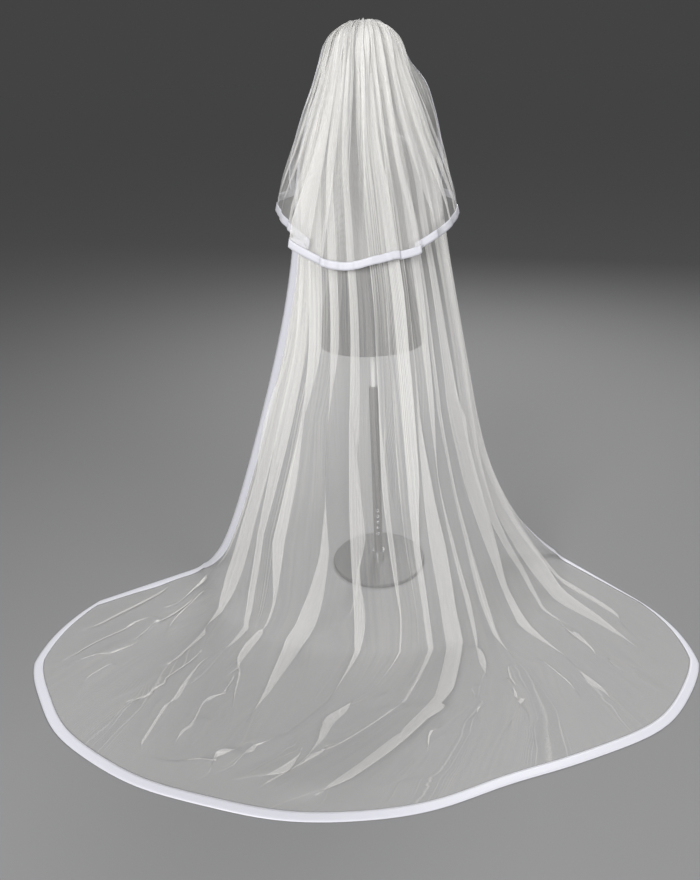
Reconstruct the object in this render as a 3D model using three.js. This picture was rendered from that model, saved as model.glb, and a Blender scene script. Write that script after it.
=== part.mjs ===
import * as THREE from "three";

// Two-tier bridal veil of sheer tulle with ribbon edges, hung by its comb on a display form, with a train.
// Millimetres. +Z is up, the origin is on the floor under the pole and the train lies towards -Y.

// Cloth
const tulleWall = 1.2;
const ribbonWall = 1;
const seamGap = 0.3;
const lowerRibbonWidth = 28;
const upperRibbonWidth = 22;
const widestRibbonShare = 0.1; // of a gathered ring, where the ribbon is gathered too
const columnsPerFold = 6;
const ringSteps = 240;
const flareStart = 0.86; // share of the sheet's width where the right front edge begins to stand off

// Comb and the gathers sewn to it
const gatherFold = 2;
const combHalf = 45;
const gatherDrop = 10; // how far the ends of the gathers lie below their middle
const combDrop = 10.8; // the same for the comb under them
const combThickness = 2.4;
const combBar = { front: -1, back: -7 };
const combTeeth = 15;
const toothLength = 34;
const toothWidth = 2;

// Display form and stand
const formTop = 1663;
const formBottom = 806;
const formSegments = 24;
const poleRadius = 7;
const sleeveRadius = 15; // the tube that the pole slides in
const sleeveTop = 668;
const baseRadius = 160;
const baseHeight = 12;
const baseBevel = 3;
const collarRadius = 21;
const collarHeight = 34;
const roundSegments = 32;

// Heights where the comb and the two tiers lie over one another on the crown
const combTop = formTop + seamGap + combThickness;
const lowerGather = combTop + seamGap + tulleWall / 2 + gatherFold;
const upperGather = lowerGather + 2 * gatherFold + tulleWall + seamGap;

// A short table: the first row names the columns.
function table(columns, ...rows) {
  return rows.map((row) => Object.fromEntries(columns.map((name, k) => [name, row[k]])));
}

// Rings of the lower tier from the comb to the floor. back and edge are heights at the middle of the back
// and at the front edges, half and depth the ring's half axes, centreX and centreY its middle, sweep half
// its angle, shift how far it reaches on to the right, turn its twist in plan, fold and lap the pleats'
// height and sideways lean.
const lowerRings = table(
  ["back", "edge", "half", "depth", "centreX", "centreY", "sweep", "shift", "turn", "fold", "lap"],
  [lowerGather, lowerGather - gatherDrop, combHalf, 4, 0, -2, 90, 0, 0, gatherFold, 0],
  [1667, 1644, 66, 44, 0, -2, 90, 0, 0, 2.2, 1],
  [1650, 1614, 87, 80, 0, 0, 90, 0, 0, 3.2, 3],
  [1610, 1572, 103, 100, 0, 2, 90, 0, 0, 3.8, 5],
  [1555, 1528, 121, 110, 0, 6, 90, 1, 0, 4, 7],
  [1475, 1465, 149, 126, 0, 12, 90, 2, 0, 4.5, 10],
  [1380, 1380, 178, 146, 0, 20, 92, 4, 0, 5, 12],
  [1280, 1280, 199, 166, 0, 22, 93, 7, 0, 7, 15],
  [1160, 1160, 214, 182, 0, 22, 93, 10, 0, 9, 17],
  [1020, 1020, 239, 206, -2, 22, 93, 13, 0, 10, 19],
  [870, 870, 272, 234, -8, 22, 93, 15, -0.5, 11, 21],
  [710, 710, 311, 268, -18, 22, 93, 16, -1, 12, 23],
  [550, 550, 352, 302, -29, 24, 93, 16, -1.5, 13, 25],
  [395, 395, 398, 336, -35, 22, 93, 15, -2, 14, 27],
  [245, 245, 456, 370, -30, 16, 93, 13, -2.5, 14, 28],
  [120, 120, 520, 400, -18, 6, 93, 10, -3, 13, 26],
  [42, 42, 578, 425, -8, -8, 93, 7, -3.5, 11, 22],
  [0, 0, 622, 460, 0, -20, 93, 4, -4, 9, 16],
);

// Hem of the train on the floor. pinch is how far its outline draws in at the ends, past pinchStart, and
// dent how far it draws in right of the middle.
const trainHem = {
  half: 995,
  depth: 640,
  centreX: -82,
  centreY: -400,
  sweep: 108,
  turn: -4,
  pinch: 0.07,
  pinchStart: 80,
  dent: { share: 0.095, angle: 31, spread: 24 },
};
const trainShares = [0.2, 0.45, 0.72];

// Pleats of the lower tier. place runs from the left front edge to the right one, reach is the share of the
// train that the pleat crosses before it dies out.
const lowerFolds = table(
  ["place", "depth", "lean", "reach"],
  [0.04, 0.7, -0.6, 0.2],
  [0.11, 0.8, -0.9, 0.3],
  [0.175, 0.9, -1, 0.5],
  [0.225, 1.2, -1, 0.35],
  [0.295, 1.1, -1, 0.15],
  [0.37, 1.2, -0.9, 0.55],
  [0.45, 1.3, -0.8, 0.7],
  [0.525, 0.9, -0.5, 0.4],
  [0.575, 0.9, 0.5, 0.6],
  [0.62, 1.1, 0.8, 0.95],
  [0.67, 0.9, 1, 0.45],
  [0.725, 1, 1, 0.55],
  [0.78, 1.1, 1, 0.3],
  [0.83, 1.1, 1, 0.85],
  [0.89, 0.8, 0.9, 0.5],
  [0.95, 0.7, 0.6, 0.25],
);

// Rings of the upper tier from the comb down. flare is how far the right front edge stands off, and front
// how deep a ring is past its sides, where it turns in towards the front.
const upperRings = table(
  ["back", "edge", "half", "depth", "centreY", "sweep", "front", "fold", "lap", "flare"],
  [upperGather, upperGather - gatherDrop, combHalf, 4, -2, 90, 4, gatherFold, 0, 0],
  [1678, 1656, 71, 54, -2, 90, 40, 2.2, 1, 0],
  [1664, 1628, 99, 94, 0, 90, 60, 3.2, 3, 0],
  [1622, 1582, 117, 116, 3, 90, 70, 3.8, 5, 4],
  [1560, 1530, 137, 128, 8, 94, 80, 4, 7, 28],
  [1470, 1466, 166, 146, 14, 100, 90, 4.5, 10, 24],
  [1372, 1388, 198, 168, 22, 108, 100, 5, 13, 14],
  [1274, 1332, 225, 192, 25, 117, 108, 7, 16, 4],
  [1174, 1294, 246, 212, 26, 125, 112, 9, 19, 0],
);
const upperHem = { back: 1082, edge: 1262, half: 258, depth: 226, centreY: 26, sweep: 130, front: 114 };

// Pleats of the upper tier. The two deepest stand either side of the broad middle panel.
const upperFolds = table(
  ["place", "depth", "lean"],
  [0.045, 0.6, -0.5],
  [0.115, 0.8, -0.7],
  [0.18, 0.9, -0.9],
  [0.24, 0.9, -1],
  [0.3, 1.4, -1],
  [0.365, 0.7, -0.6],
  [0.43, 0.6, -0.4],
  [0.5, 0.7, -0.2],
  [0.57, 0.6, 0.4],
  [0.64, 0.7, 0.6],
  [0.71, 1.4, 1],
  [0.77, 0.9, 1],
  [0.83, 0.9, 0.9],
  [0.89, 0.8, 0.7],
  [0.955, 0.6, 0.5],
);

// Rings of the display form, top down.
const formRings = table(
  ["height", "half", "depth", "centreY"],
  [formTop - 1, 12, 15, 12],
  [1657, 32, 40, 12],
  [1640, 52, 64, 12],
  [1610, 67, 82, 11],
  [1570, 75, 91, 10],
  [1530, 72, 87, 12],
  [1496, 61, 72, 14],
  [1466, 51, 58, 12],
  [1436, 51, 55, 8],
  [1414, 68, 61, 5],
  [1397, 106, 71, 2],
  [1376, 142, 82, 0],
  [1348, 157, 93, 0],
  [1310, 158, 102, 2],
  [1260, 150, 110, 6],
  [1195, 147, 119, 10],
  [1120, 130, 109, 8],
  [1040, 118, 97, 4],
  [960, 137, 107, 2],
  [880, 156, 116, 0],
  [820, 159, 118, 0],
  [formBottom + 4, 155, 114, 0],
  [formBottom, 148, 107, 0],
);

const { degToRad, lerp, smoothstep, clamp } = THREE.MathUtils;
const up = new THREE.Vector3(0, 0, 1);

// How far out a hem's outline lies at an angle, as a share of its plain oval.
function hemShare({ pinch, pinchStart, sweep, dent }, angle) {
  const pastStart = Math.max(0, Math.abs(angle) - pinchStart) / (sweep - pinchStart);
  const nearDent = Math.exp(-(((angle - dent.angle) / dent.spread) ** 2));
  return 1 - pinch * pastStart - dent.share * nearDent;
}

// A point of a ring, from side -1 at the left front edge to 1 at the right one.
function ringPoint(ring, side) {
  const angle = ring.sweep * side + (ring.shift ?? 0);
  const out = ring.dent ? hemShare(ring, angle) : 1;
  const depth = Math.abs(angle) < 90 ? ring.depth : (ring.front ?? ring.depth);
  const rise = Math.sin((side * Math.PI) / 2) ** 2;
  const x = ring.half * out * Math.sin(degToRad(angle));
  const y = -depth * out * Math.cos(degToRad(angle));
  const z = lerp(ring.back ?? 0, ring.edge ?? 0, rise);
  const point = new THREE.Vector3(x, y, z).applyAxisAngle(up, degToRad(ring.turn ?? 0));
  return point.add(new THREE.Vector3(ring.centreX ?? 0, ring.centreY, 0));
}

// A ring measured along its length: at(share) is the point at that share of it from the left edge.
function measuredRing(ring) {
  const points = [];
  for (let k = 0; k <= ringSteps; k++) {
    points.push(ringPoint(ring, (2 * k) / ringSteps - 1));
  }
  const curve = new THREE.CatmullRomCurve3(points);
  curve.arcLengthDivisions = ringSteps;
  return { length: curve.getLength(), at: (share) => curve.getPointAt(share) };
}

// Columns of a sheet inside its ribbon. pleat counts the pleats passed, so a whole number is a crest, and
// even is the column's place in the gathers, which are evenly spaced.
function pleatColumns(folds) {
  const last = folds.length - 1;
  const columns = [];
  for (let k = 0; k <= folds.length * columnsPerFold; k++) {
    const pleat = k / columnsPerFold - 0.5;
    const near = clamp(Math.floor(pleat), -1, last);
    const before = near < 0 ? -folds[0].place : folds[near].place;
    const after = near < last ? folds[near + 1].place : 2 - folds[last].place;
    const even = k / (folds.length * columnsPerFold);
    columns.push({ pleat, even, place: lerp(before, after, pleat - near) });
  }
  return columns;
}

// The wave of a sheet at a column. The pleats are even at the comb and die out along the train.
function pleatWave(folds, pleat, row) {
  const last = folds.length - 1;
  const near = clamp(Math.floor(pleat), 0, last);
  const next = Math.min(near + 1, last);
  const mix = smoothstep(pleat - near, 0, 1);
  const depth = (fold) => {
    const remaining = 1 - Math.min(1, row.crossed / (fold.reach ?? 1));
    return row.gathered ? 1 : fold.depth * remaining;
  };
  const inside = smoothstep(pleat, -0.5, 0) * (1 - smoothstep(pleat, last, last + 0.5));
  return {
    height: inside * lerp(depth(folds[near]), depth(folds[next]), mix),
    lean: lerp(folds[near].lean, folds[next].lean, mix),
    wave: Math.cos(2 * Math.PI * pleat),
  };
}

// Unit normals of a grid of points, outward where columns run left to right and rows run down.
function gridNormals(grid) {
  const normals = grid.map((row) => row.map(() => new THREE.Vector3()));
  for (let i = 0; i + 1 < grid.length; i++) {
    for (let j = 0; j + 1 < grid[0].length; j++) {
      const falling = new THREE.Vector3().subVectors(grid[i + 1][j + 1], grid[i][j]);
      const rising = new THREE.Vector3().subVectors(grid[i + 1][j], grid[i][j + 1]);
      const face = rising.cross(falling).normalize();
      normals[i][j].add(face);
      normals[i + 1][j].add(face);
      normals[i][j + 1].add(face);
      normals[i + 1][j + 1].add(face);
    }
  }
  return normals.map((row) => row.map((normal) => normal.normalize()));
}

// Rows of a sheet: one for each ring, then rows between the last ring and the ribbon's inner line, then the
// hem. Each row gives its point at a share of its width.
function sheetRows({ rings, hem, hemShares, ribbonWidth, onFloor }) {
  const measured = rings.map(measuredRing);
  const foot = measured.at(-1);
  const rim = measuredRing(hem);
  const rows = rings.map((ring, k) => {
    const { length, at } = measured[k];
    return { ...ring, length, at, crossed: 0, gathered: k === 0, flat: ring.back === 0 };
  });
  const towardsHem = (part) => (share) => {
    const start = foot.at(share);
    const end = rim.at(share);
    const ribbonLine = 1 - ribbonWidth / start.distanceTo(end);
    return start.lerp(end, part * ribbonLine);
  };
  const last = { ...rings.at(-1), length: foot.length, flat: onFloor };
  for (const part of [...hemShares, 1]) {
    rows.push({ ...last, at: towardsHem(part), crossed: onFloor ? part : 0 });
  }
  rows.push({ ...last, at: rim.at, crossed: onFloor ? 1 : 0 });
  return rows;
}

// The pleated middle surface of a sheet with its outward normals.
function pleatedSheet(cut) {
  const rows = sheetRows(cut);
  const columns = pleatColumns(cut.folds);
  const base = rows.map((row) => {
    const edge = Math.min(widestRibbonShare, cut.ribbonWidth / row.length);
    const places = columns.map((column) => (row.gathered ? column.even : column.place));
    const shares = places.map((place) => lerp(edge, 1 - edge, place));
    return [0, ...shares, 1].map(row.at);
  });
  const outward = gridNormals(base);
  const lastColumn = base[0].length - 1;
  const pleated = (row, i, j) => {
    const { pleat } = columns[clamp(j - 1, 0, columns.length - 1)];
    const { height, lean, wave } = pleatWave(cut.folds, pleat, row);
    const left = base[i][Math.max(0, j - 1)];
    const right = base[i][Math.min(lastColumn, j + 1)];
    const along = new THREE.Vector3().subVectors(right, left).normalize();
    const point = base[i][j].clone();
    point.addScaledVector(row.flat ? up : outward[i][j], row.fold * height * (row.flat ? 1 + wave : wave));
    point.addScaledVector(along, row.lap * height * lean * wave);
    point.x += (row.flare ?? 0) * smoothstep(j / lastColumn, flareStart, 1);
    point.z = Math.max(point.z, tulleWall / 2);
    return point;
  };
  const grid = rows.map((row, i) => base[i].map((_, j) => pleated(row, i, j)));
  return { grid, normals: gridNormals(grid) };
}

// A closed wall over the chosen cells of a sheet, between two distances out from its middle surface.
function wallGeometry({ grid, normals }, chosen, inner, outer) {
  const width = grid[0].length;
  const outside = grid.length * width;
  const points = [];
  for (const distance of [inner, outer]) {
    grid.forEach((row, i) => {
      row.forEach((point, j) => points.push(point.clone().addScaledVector(normals[i][j], distance)));
    });
  }
  const index = [];
  const quad = (a, b, c, d) => index.push(a, b, c, a, c, d);
  const taken = (i, j) => i >= 0 && j >= 0 && i + 1 < grid.length && j + 1 < width && chosen(i, j);
  for (let i = 0; i + 1 < grid.length; i++) {
    for (let j = 0; j + 1 < width; j++) {
      if (!chosen(i, j)) continue;
      const a = i * width + j;
      const b = a + width;
      quad(a + outside, b + outside, b + 1 + outside, a + 1 + outside);
      quad(a, a + 1, b + 1, b);
      const rim = (from, to) => quad(from, to, to + outside, from + outside);
      if (!taken(i, j - 1)) rim(a, b);
      if (!taken(i + 1, j)) rim(b, b + 1);
      if (!taken(i, j + 1)) rim(b + 1, a + 1);
      if (!taken(i - 1, j)) rim(a + 1, a);
    }
  }
  return new THREE.BufferGeometry().setFromPoints(points).setIndex(index);
}

// A tier and the ribbon on its free edges, which is the sheet's outermost cells moved out.
function tierGeometry(cut) {
  const sheet = pleatedSheet(cut);
  const lastRow = sheet.grid.length - 2;
  const lastColumn = sheet.grid[0].length - 2;
  const onEdge = (i, j) => i === lastRow || j === 0 || j === lastColumn;
  const ribbonInner = tulleWall / 2 + seamGap;
  return {
    tulle: wallGeometry(sheet, () => true, -tulleWall / 2, tulleWall / 2),
    ribbon: wallGeometry(sheet, onEdge, ribbonInner, ribbonInner + ribbonWall),
  };
}

// A smooth closed solid through the form's oval rings.
function formGeometry() {
  const points = [new THREE.Vector3(0, formRings[0].centreY, formTop)];
  for (const ring of formRings) {
    for (let k = 0; k < formSegments; k++) {
      const angle = (2 * Math.PI * k) / formSegments;
      const y = ring.centreY + ring.depth * Math.sin(angle);
      points.push(new THREE.Vector3(ring.half * Math.cos(angle), y, ring.height));
    }
  }
  points.push(new THREE.Vector3(0, formRings.at(-1).centreY, formBottom));
  const bottom = points.length - 1;
  const at = (ring, k) => 1 + ring * formSegments + (k % formSegments);
  const index = [];
  for (let k = 0; k < formSegments; k++) {
    index.push(0, at(0, k), at(0, k + 1));
    index.push(bottom, at(formRings.length - 1, k + 1), at(formRings.length - 1, k));
    for (let ring = 0; ring + 1 < formRings.length; ring++) {
      index.push(at(ring, k), at(ring + 1, k), at(ring + 1, k + 1));
      index.push(at(ring, k), at(ring + 1, k + 1), at(ring, k + 1));
    }
  }
  return new THREE.BufferGeometry().setFromPoints(points).setIndex(index);
}

// A flat toothed comb, bent down at its ends like the gathers above it.
function combGeometry() {
  const pitch = (2 * combHalf - toothWidth) / (combTeeth - 1);
  const places = [];
  for (let k = 0; k < combTeeth; k++) {
    const left = k * pitch - combHalf;
    places.push(left, left + toothWidth);
  }
  const lines = [combBar.front + toothLength, combBar.front, combBar.back];
  const bent = (x, y) => new THREE.Vector3(x, y, -combDrop * (x / combHalf) ** 2);
  const grid = lines.map((y) => places.map((x) => bent(x, y)));
  const normals = grid.map((row) => row.map(() => up));
  const barOrTooth = (i, j) => i === 1 || j % 2 === 0;
  return wallGeometry({ grid, normals }, barOrTooth, 0, combThickness);
}

// A solid of revolution about +Z from [radius, height] pairs.
function turned(...profile) {
  const points = profile.map(([radius, height]) => new THREE.Vector2(radius, height));
  return new THREE.LatheGeometry(points, roundSegments).rotateX(Math.PI / 2);
}

function tube(inner, outer, foot, top) {
  return turned([inner, foot], [outer, foot], [outer, top], [inner, top], [inner, foot]);
}

function mesh(name, geometry, look) {
  const made = new THREE.Mesh(geometry, new THREE.MeshStandardMaterial(look));
  made.name = name;
  return made;
}

const tulleLook = { color: 0xf4f4f8, roughness: 0.8, transparent: true, opacity: 0.4 };
const ribbonLook = { color: 0xf2f2fa, roughness: 0.35 };
const combLook = { color: 0xe8e8e8, roughness: 0.4 };
const formLook = { color: 0x141416, roughness: 0.75 };
const poleLook = { color: 0xe0e0de, roughness: 0.4 };
const chromeLook = { color: 0xc8cacc, roughness: 0.2, metalness: 1 };
const baseLook = { color: 0x1a1a1c, roughness: 0.5, metalness: 0.4 };

const lower = tierGeometry({
  rings: lowerRings,
  folds: lowerFolds,
  hem: trainHem,
  hemShares: trainShares,
  ribbonWidth: lowerRibbonWidth,
  onFloor: true,
});
const upper = tierGeometry({
  rings: upperRings,
  folds: upperFolds,
  hem: upperHem,
  hemShares: [],
  ribbonWidth: upperRibbonWidth,
  onFloor: false,
});

const veil = new THREE.Group();
veil.add(mesh("lower_tier", lower.tulle, tulleLook));
veil.add(mesh("lower_ribbon", lower.ribbon, ribbonLook));
veil.add(mesh("upper_tier", upper.tulle, tulleLook));
veil.add(mesh("upper_ribbon", upper.ribbon, ribbonLook));
const comb = mesh("comb", combGeometry(), combLook);
comb.position.z = formTop + seamGap;
veil.add(comb);

const stand = new THREE.Group();
stand.add(mesh("display_form", formGeometry(), formLook));
const base = turned(
  [0, 0],
  [baseRadius, 0],
  [baseRadius, baseHeight - baseBevel],
  [baseRadius - baseBevel, baseHeight],
  [0, baseHeight],
);
stand.add(mesh("base", base, baseLook));
const poleFoot = baseHeight + seamGap;
const poleTop = formBottom - seamGap;
const pole = turned([0, poleFoot], [poleRadius, poleFoot], [poleRadius, poleTop], [0, poleTop]);
stand.add(mesh("pole", pole, poleLook));
stand.add(mesh("sleeve", tube(poleRadius + seamGap, sleeveRadius, poleFoot, sleeveTop), baseLook));
const collar = tube(sleeveRadius + seamGap, collarRadius, poleFoot, poleFoot + collarHeight);
stand.add(mesh("collar", collar, chromeLook));

const part = new THREE.Group();
part.add(veil, stand);

export default part;
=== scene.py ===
import math

import bmesh
import bpy
import numpy as np
from mathutils import Matrix, Vector


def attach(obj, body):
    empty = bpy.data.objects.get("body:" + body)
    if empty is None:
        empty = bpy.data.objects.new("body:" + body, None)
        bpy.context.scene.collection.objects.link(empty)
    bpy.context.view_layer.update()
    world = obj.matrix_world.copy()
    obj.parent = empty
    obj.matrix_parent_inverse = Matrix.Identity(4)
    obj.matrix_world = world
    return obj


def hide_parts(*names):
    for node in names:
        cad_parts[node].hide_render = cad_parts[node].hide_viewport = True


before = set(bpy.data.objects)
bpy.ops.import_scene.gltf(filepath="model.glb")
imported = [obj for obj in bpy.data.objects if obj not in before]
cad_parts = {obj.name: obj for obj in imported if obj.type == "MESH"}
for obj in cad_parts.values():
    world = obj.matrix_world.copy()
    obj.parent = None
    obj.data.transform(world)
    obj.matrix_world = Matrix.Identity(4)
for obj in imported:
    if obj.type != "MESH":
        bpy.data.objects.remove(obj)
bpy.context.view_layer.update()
print("frame loaded:", len(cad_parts), "solids")

mm = 0.001
tiny = 1e-9  # keeps a length of nothing from being divided by
stage = bpy.context.scene
chance = np.random.default_rng(11)

# camera, at the height of someone standing behind the veil, in metres, degrees and picture points
cameraSet = {
    "place": (-0.082, -2.2139, 1.6),
    "pitch": 26.79,
    "roll": 2.8,
    "focal": 760,
    "picture": (700, 880),
    "sensor": 36,
}


def makeCamera(s):
    data = bpy.data.cameras.new("viewer")
    data.sensor_width = s["sensor"]
    data.lens = s["focal"] / max(s["picture"]) * s["sensor"]
    cam = bpy.data.objects.new("viewer", data)
    look = Matrix.Rotation(math.radians(90 - s["pitch"]), 4, "X")
    tilt = Matrix.Rotation(math.radians(-s["roll"]), 4, "Z")
    cam.matrix_world = Matrix.Translation(s["place"]) @ look @ tilt
    stage.collection.objects.link(cam)
    stage.camera = cam


makeCamera(cameraSet)
print("camera placed")


# small helpers
def rowsOf(columns, *rows):
    return [dict(zip(columns.split(), row)) for row in rows]


def columnOf(rows, name):
    return np.array([row[name] for row in rows], float)


def ease(x, low, high):
    t = np.clip((x - low) / (high - low), 0, 1)
    return t * t * (3 - 2 * t)


def bell(x):
    return np.exp(-0.5 * x * x)


def through(values, at):  # a smooth curve through a table's values
    values = np.asarray(values, float)
    last = len(values) - 1
    k = np.clip(np.floor(at).astype(int), 0, last - 1)
    t = at - k
    before, here, there, after = (values[np.clip(k + d, 0, last)] for d in (-1, 0, 1, 2))
    bend = 2 * before - 5 * here + 4 * there - after
    twist = 3 * here - before - 3 * there + after
    return 0.5 * (2 * here + (there - before) * t + bend * t**2 + twist * t**3)


def unit(v):
    return v / np.maximum(np.linalg.norm(v, axis=-1, keepdims=True), tiny)


def gridNormals(grid):
    down = np.gradient(grid, axis=0)
    along = np.gradient(grid, axis=1)
    return unit(np.cross(down, along))


def meshOf(name, points, faces, uv=None):  # points in mm, faces all with the same number of corners
    mesh = bpy.data.meshes.new(name)
    points = np.asarray(points, float).reshape(-1, 3) * mm
    faces = np.asarray(faces, np.int32)
    mesh.vertices.add(len(points))
    mesh.vertices.foreach_set("co", points.astype(np.float32).ravel())
    mesh.loops.add(faces.size)
    mesh.loops.foreach_set("vertex_index", faces.ravel())
    mesh.polygons.add(len(faces))
    starts = np.arange(0, faces.size, faces.shape[1], dtype=np.int32)
    mesh.polygons.foreach_set("loop_start", starts)
    mesh.polygons.foreach_set("use_smooth", np.ones(len(faces), bool))
    mesh.update(calc_edges=True)
    if uv is not None:
        layer = mesh.uv_layers.new(name="cut")
        corners = np.asarray(uv, np.float32).reshape(-1, 2)[faces.ravel()]
        layer.data.foreach_set("uv", corners.ravel())
    return mesh


def gridFaces(rows, columns, closed=False):
    index = np.arange(rows * columns).reshape(rows, columns)
    right = np.roll(index, -1, axis=1) if closed else index[:, 1:]
    left = index if closed else index[:, :-1]
    return np.stack([left[:-1], left[1:], right[1:], right[:-1]], -1)


def addPiece(name, mesh, material):
    piece = bpy.data.objects.new(name, mesh)
    stage.collection.objects.link(piece)
    mesh.materials.clear()
    mesh.materials.append(material)
    return piece


def wire(tree, kind, inputs=None, **settings):  # a node with its settings, values and links
    node = tree.nodes.new(kind)
    for name, value in settings.items():
        setattr(node, name, value)
    for name, value in (inputs or {}).items():
        if isinstance(value, bpy.types.NodeSocket):
            tree.links.new(value, node.inputs[name])
        else:
            node.inputs[name].default_value = value
    return node


def mapped(tree, value, given, wanted, **settings):  # a value's range turned into another
    span = {"Value": value, "From Min": given[0], "From Max": given[1]}
    span.update({"To Min": wanted[0], "To Max": wanted[1]})
    return wire(tree, "ShaderNodeMapRange", span, **settings).outputs["Result"]


def cloudOn(tree, place, scale, detail):  # soft uneven patches
    noise = {"Vector": place, "Scale": scale, "Detail": detail}
    return wire(tree, "ShaderNodeTexNoise", noise).outputs["Fac"]


def addRelief(tree, skin, height, strength, depth):
    bump = wire(tree, "ShaderNodeBump", {"Height": height, "Strength": strength, "Distance": depth})
    tree.links.new(bump.outputs["Normal"], skin.inputs["Normal"])


def newFinish(name, **values):
    material = bpy.data.materials.new(name)
    material.use_nodes = True
    skin = material.node_tree.nodes["Principled BSDF"]
    for socket, value in values.items():
        skin.inputs[socket.replace("_", " ")].default_value = value
    return material, material.node_tree, skin


# tulle, a fine net that shows what is behind it
tulleSet = {
    "warm": (0.96, 0.94, 0.89, 1),
    "cool": (0.92, 0.92, 0.93, 1),
    "cover": 0.18,  # share of the view that one smooth layer takes
    "netSize": 0.0016,
    "netUneven": 0.25,
    "threadReach": (0.03, 0.2),  # how far a thread reaches into a gap, from thread to middle
    "threadRange": (1.9, 0.7),  # cover on a thread and in the middle of a gap
    "streakWidth": 0.006,
    "streakLength": 0.5,
    "streakDetail": 3,
    "streakSpread": (0.3, 0.7),
    "streakRange": (0.45, 1.6),  # how much the layers thin out and bunch up from streak to streak
    "smooth": 0.12,  # the share of that on smooth cloth
    "gathered": (1, 3),  # layers on smooth cloth and on cloth that has all of it
    "rough": 0.7,
    "sheen": 0.3,
}


def makeTulle(s):
    material, tree, skin = newFinish("tulle", Roughness=s["rough"], Sheen_Weight=s["sheen"])
    uv = wire(tree, "ShaderNodeUVMap", uv_map="cut").outputs["UV"]
    layers = wire(tree, "ShaderNodeAttribute", attribute_name="layers").outputs["Fac"]
    net = wire(
        tree,
        "ShaderNodeTexVoronoi",
        {"Vector": uv, "Scale": 1 / s["netSize"], "Randomness": s["netUneven"]},
        voronoi_dimensions="2D",
        feature="DISTANCE_TO_EDGE",
    ).outputs["Distance"]
    thread = mapped(tree, net, s["threadReach"], s["threadRange"])
    grain = (1 / s["streakWidth"], 1 / s["streakLength"], 1)
    stretch = wire(tree, "ShaderNodeMapping", {"Vector": uv, "Scale": grain}).outputs["Vector"]
    noise = {"Vector": stretch, "Scale": 1, "Detail": s["streakDetail"]}
    streak = wire(tree, "ShaderNodeTexNoise", noise, noise_dimensions="2D").outputs["Fac"]
    uneven = mapped(tree, streak, s["streakSpread"], s["streakRange"])
    gathered = mapped(tree, layers, s["gathered"], (s["smooth"], 1))
    swing = wire(tree, "ShaderNodeMath", {0: uneven, 1: 1}, operation="SUBTRACT").outputs[0]
    eased = {0: swing, 1: gathered, 2: 1}
    uneven = wire(tree, "ShaderNodeMath", eased, operation="MULTIPLY_ADD").outputs[0]
    both = wire(tree, "ShaderNodeMath", {0: thread, 1: uneven}, operation="MULTIPLY").outputs[0]
    depth = wire(tree, "ShaderNodeMath", {0: both, 1: layers}, operation="MULTIPLY").outputs[0]
    passed = wire(tree, "ShaderNodeMath", {0: 1 - s["cover"], 1: depth}, operation="POWER").outputs[0]
    seen = wire(tree, "ShaderNodeMath", {0: 1, 1: passed}, operation="SUBTRACT", use_clamp=True).outputs[0]
    tree.links.new(seen, skin.inputs["Alpha"])
    tint = wire(tree, "ShaderNodeMixRGB", {"Fac": streak, "Color1": s["cool"], "Color2": s["warm"]})
    tree.links.new(tint.outputs["Color"], skin.inputs["Base Color"])
    return material


# satin ribbon, woven across its length
ribbonSet = {
    "colour": (0.7, 0.7, 0.76, 1),
    "ribSize": 0.0011,
    "ribDepth": 0.00008,
    "ribStrength": 0.25,
    "ribUneven": 0.6,
    "ribDetail": 1,
    "sheen": 0.25,
    "brushed": 0.5,  # satin shines along its threads
    "cloud": 30,
    "cloudDetail": 2,
    "rough": (0.26, 0.44),
}
waveRate = 20  # the wave texture's own rate, in radians for each unit


def makeRibbon(s):
    material, tree, skin = newFinish(
        "ribbonSatin", Base_Color=s["colour"], Sheen_Weight=s["sheen"], Anisotropic=s["brushed"]
    )
    uv = wire(tree, "ShaderNodeUVMap", uv_map="cut").outputs["UV"]
    ribs = {"Vector": uv, "Scale": 1 / s["ribSize"] / waveRate}
    ribs.update({"Distortion": s["ribUneven"], "Detail": s["ribDetail"]})
    wave = wire(tree, "ShaderNodeTexWave", ribs, bands_direction="DIAGONAL").outputs["Fac"]
    addRelief(tree, skin, wave, s["ribStrength"], s["ribDepth"])
    cloud = cloudOn(tree, uv, s["cloud"], s["cloudDetail"])
    rough = mapped(tree, cloud, (0, 1), s["rough"])
    tree.links.new(rough, skin.inputs["Roughness"])
    return material


tulle = makeTulle(tulleSet)
satin = makeRibbon(ribbonSet)

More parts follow.
